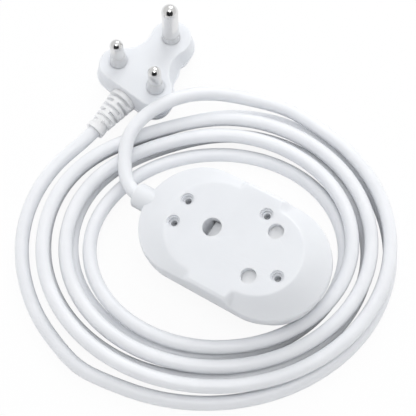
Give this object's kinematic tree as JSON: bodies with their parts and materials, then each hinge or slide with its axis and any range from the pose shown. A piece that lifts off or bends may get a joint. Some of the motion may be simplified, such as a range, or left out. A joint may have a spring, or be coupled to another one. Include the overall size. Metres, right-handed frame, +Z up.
{
  "type": "extension cord",
  "caption": "White extension cord, coiled, with a round-pin plug and an oval double-sided socket with shuttered round holes.",
  "frame": {"origin": "bottom centre of the coupler's bounding box, on the floor", "axes": "+Z up, +X along the coupler from its cord end to its far end, +Y towards the side of the coupled plug's live pin"},
  "size_m": [0.1983, 0.1892, 0.0496],
  "materials": {
    "body": "smooth, faintly satin white",
    "plug": "satin white, slightly soft",
    "cord": "smooth white sheath",
    "shutter": "satin",
    "inner_plastic": "satin",
    "contact_brass": "satin",
    "screw_steel": "satin",
    "pin_nickel": "bright nickel plate",
    "live_core": "smooth",
    "neutral_core": "smooth",
    "earth_core": "smooth"
  },
  "bodies": {
    "cord_set": {"upper_shell": "body", "lower_shell": "body", "upper_shutter_spring": "screw_steel", "lower_shutter_spring": "screw_steel", "contact_carrier": "inner_plastic", "live_contact": "contact_brass", "neutral_contact": "contact_brass", "earth_contact": "contact_brass", "terminal_screws": "screw_steel", "housing_screws": "screw_steel", "cord_clamp": "inner_plastic", "clamp_screws": "screw_steel", "coupler_live_core": "live_core", "coupler_neutral_core": "neutral_core", "coupler_earth_core": "earth_core", "cord_coupler_stretch": "cord", "cord_coil": "cord", "cord_plug_stretch": "cord", "strain_relief": "plug", "plug_body": "plug", "plug_bridge": "inner_plastic", "earth_pin": "pin_nickel", "live_pin": "pin_nickel", "neutral_pin": "pin_nickel", "pin_collars": "plug", "pin_crimps": "contact_brass", "plug_live_core": "live_core", "plug_neutral_core": "neutral_core", "plug_earth_core": "earth_core"},
    "upper_shutter_body": {"upper_shutter": "shutter"},
    "lower_shutter_body": {"lower_shutter": "shutter"}
  },
  "joints": [
    {"name": "upper_shutter_slide", "type": "slide", "parent": "cord_set", "child": "upper_shutter_body", "axis": [0.9877, 0, 0.1564], "range_m": [0, 0.008], "stiffness_N_per_m": 40, "springref_m": -0.002, "deforming": ["upper_shutter_spring"]},
    {"name": "lower_shutter_slide", "type": "slide", "parent": "cord_set", "child": "lower_shutter_body", "axis": [-0.9877, 0, -0.1564], "range_m": [0, 0.008], "stiffness_N_per_m": 40, "springref_m": -0.002, "deforming": ["lower_shutter_spring"]}
  ]
}
